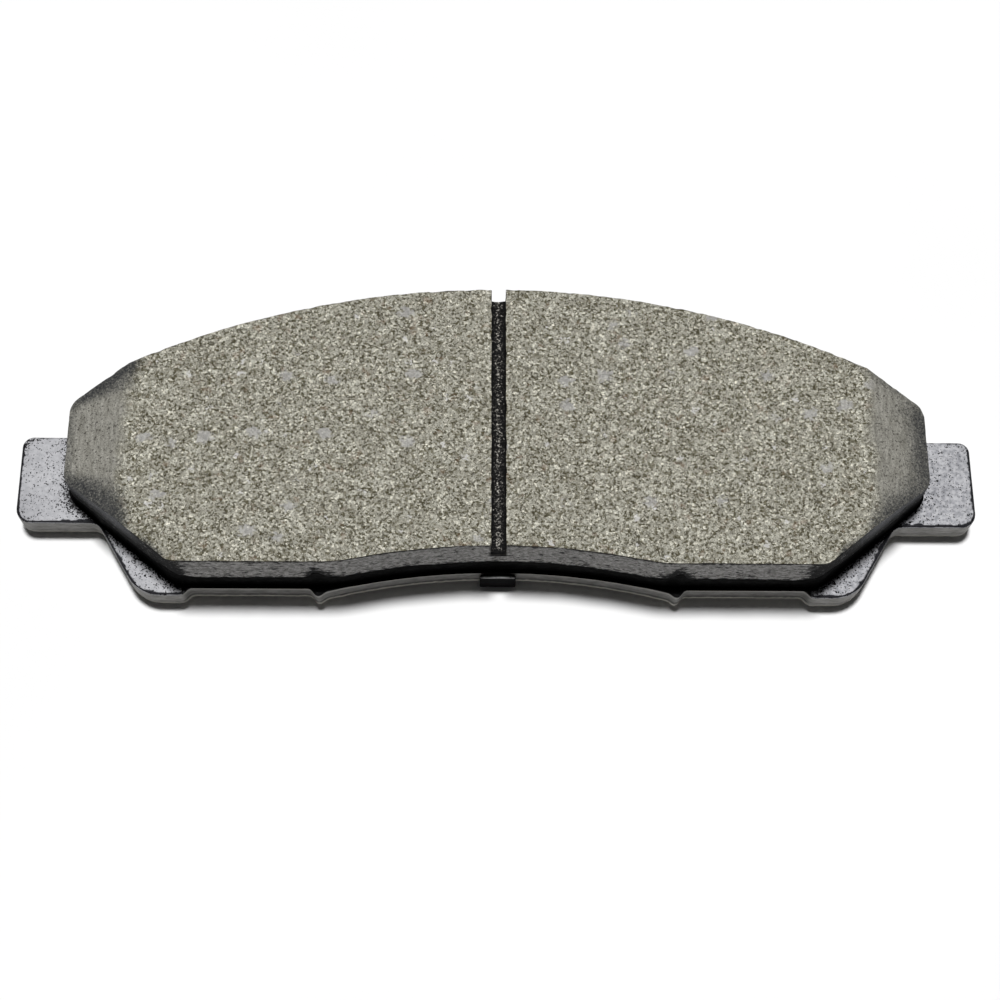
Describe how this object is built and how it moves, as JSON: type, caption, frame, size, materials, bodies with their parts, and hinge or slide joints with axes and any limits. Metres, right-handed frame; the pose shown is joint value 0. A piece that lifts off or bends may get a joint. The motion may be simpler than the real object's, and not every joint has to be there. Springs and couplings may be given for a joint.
{
  "type": "disc brake pad",
  "caption": "Long disc brake pad: eared steel backing plate, slotted friction block with chamfered ends on a dark underlayer, and a tabbed laminated shim on the back.",
  "frame": {"origin": "middle of the bounding box on the plane of the shim's outer face, on the left-right centre line", "axes": "+Z from the shim to the friction face, +X from ear to ear, +Y towards the rotor's outer edge"},
  "size_m": [0.1828, 0.0594, 0.0182],
  "materials": {
    "plate_coat": "thin light grey coat with slight orange peel and black speckle",
    "bond_adhesive": "cured black adhesive",
    "underlayer_mix": "dense black moulded composite",
    "friction_mix": "ground friction composite with pale fibres and metal grains",
    "shim_glue": "thin pressure-sensitive adhesive",
    "shim_rubber": "thin black nitrile rubber coat",
    "shim_coated_steel": "black coated spring steel with worn bend edges"
  },
  "bodies": {
    "root": {"backing_plate": "plate_coat", "bond_film": "bond_adhesive", "underlayer": "underlayer_mix", "friction_block": "friction_mix", "shim_adhesive": "shim_glue", "shim_inner_rubber": "shim_rubber", "shim_steel": "shim_coated_steel", "shim_outer_rubber": "shim_rubber"}
  },
  "joints": []
}
